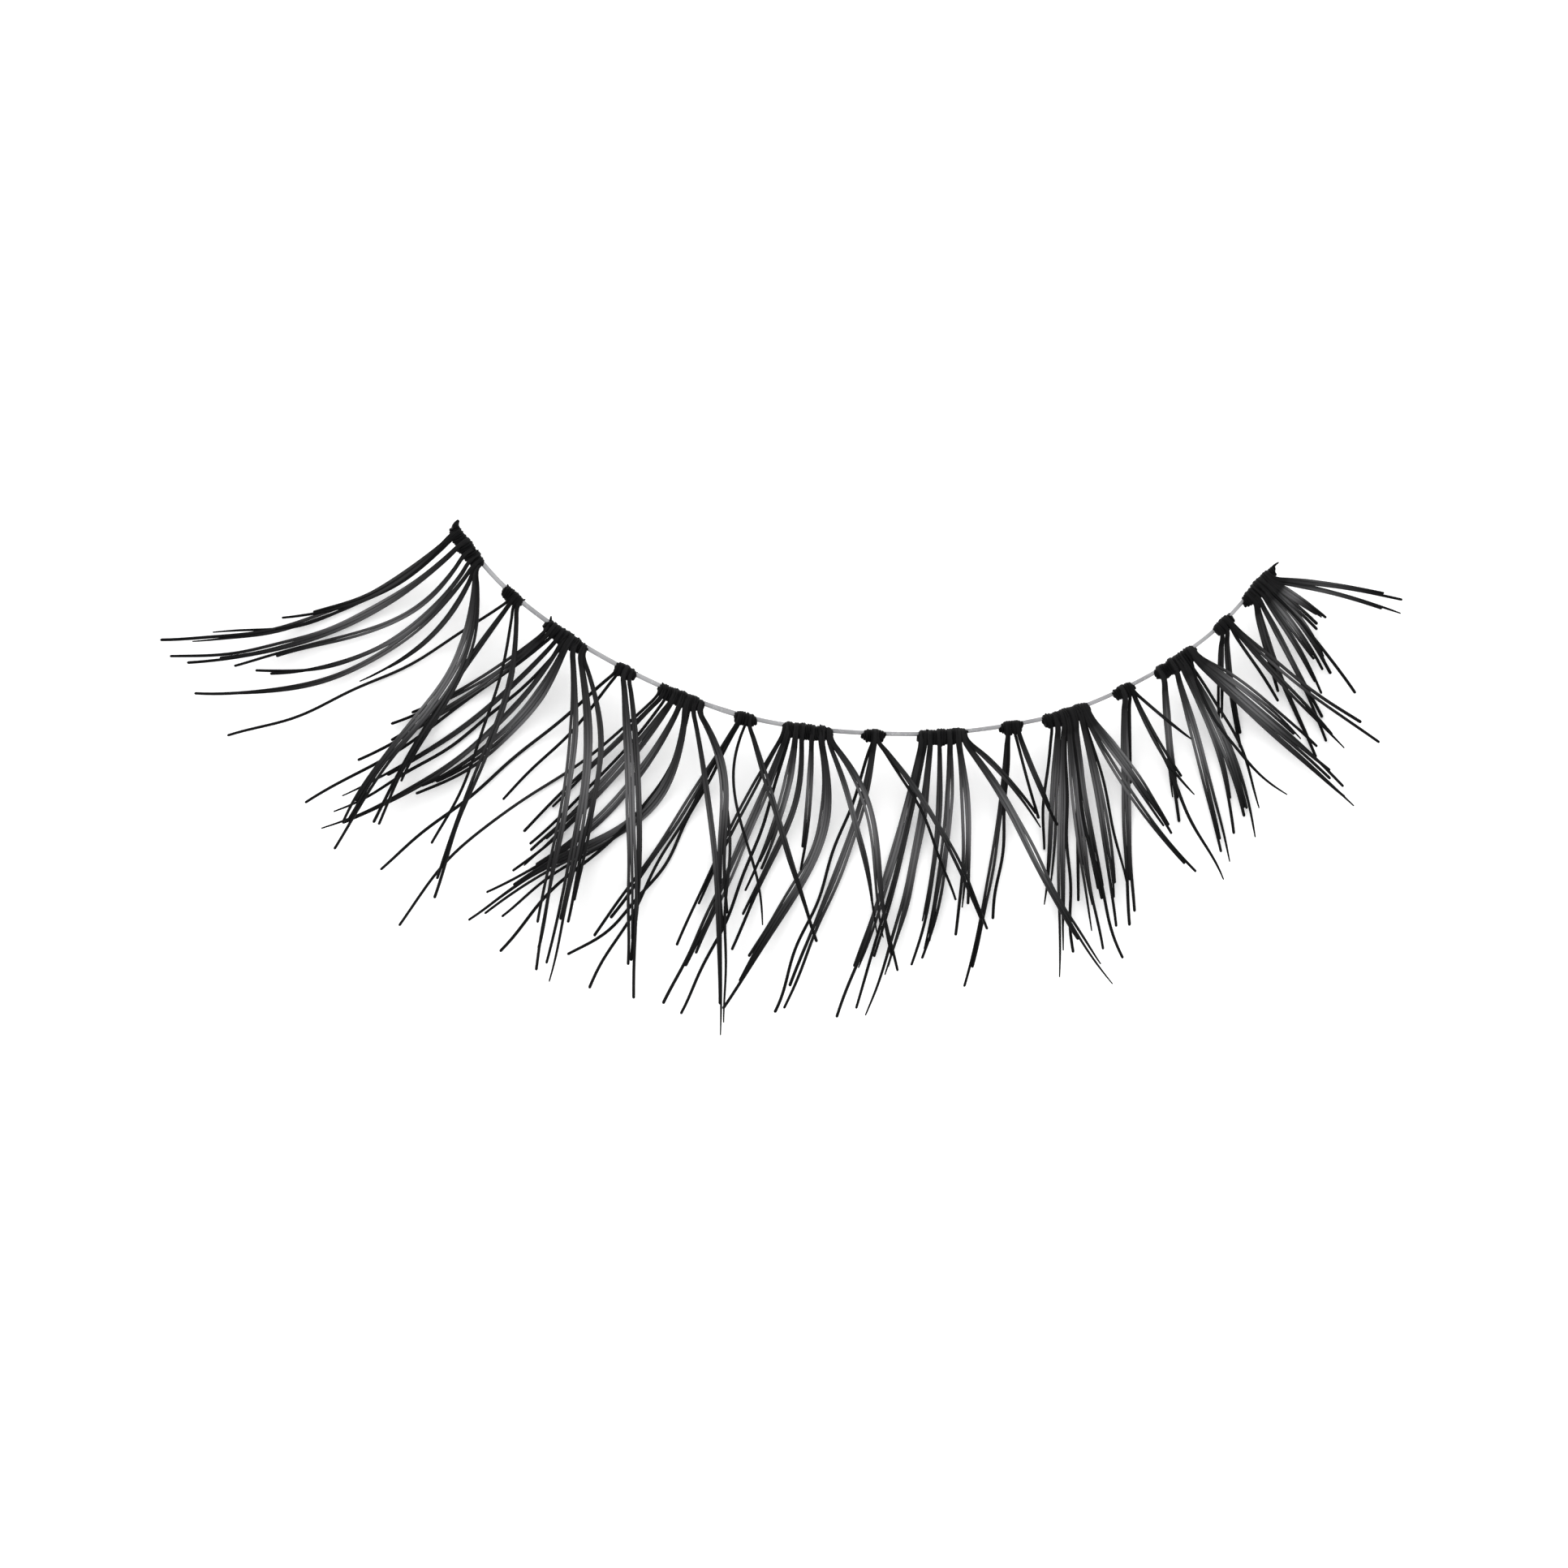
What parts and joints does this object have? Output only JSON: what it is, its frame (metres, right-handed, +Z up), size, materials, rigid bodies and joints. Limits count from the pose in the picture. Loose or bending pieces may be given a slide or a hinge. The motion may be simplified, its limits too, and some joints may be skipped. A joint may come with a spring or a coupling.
{
  "type": "false eyelash strip",
  "caption": "Strip eyelash: a clear thread along the lid with knotted tufts of curled black hair fanning from it, for gluing on.",
  "frame": {"origin": "bottom centre of the bounding box, on the surface that the strip lies on", "axes": "+X along the thread from the outer to the inner end, -Y toward the hair tips, +Z up off the surface"},
  "size_m": [0.0424, 0.0198, 0.0037],
  "materials": {
    "hair": "satin black fibre",
    "thread": "clear, smooth"
  },
  "bodies": {
    "root": {"band_thread": "thread", "outer_end_tuft": "hair", "small_tuft_1": "hair", "wide_tuft_1": "hair", "small_tuft_2": "hair", "wide_tuft_2": "hair", "small_tuft_3": "hair", "wide_tuft_3": "hair", "small_tuft_4": "hair", "wide_tuft_4": "hair", "small_tuft_5": "hair", "wide_tuft_5": "hair", "small_tuft_6": "hair", "wide_tuft_6": "hair", "small_tuft_7": "hair", "inner_end_tuft": "hair"}
  },
  "joints": []
}
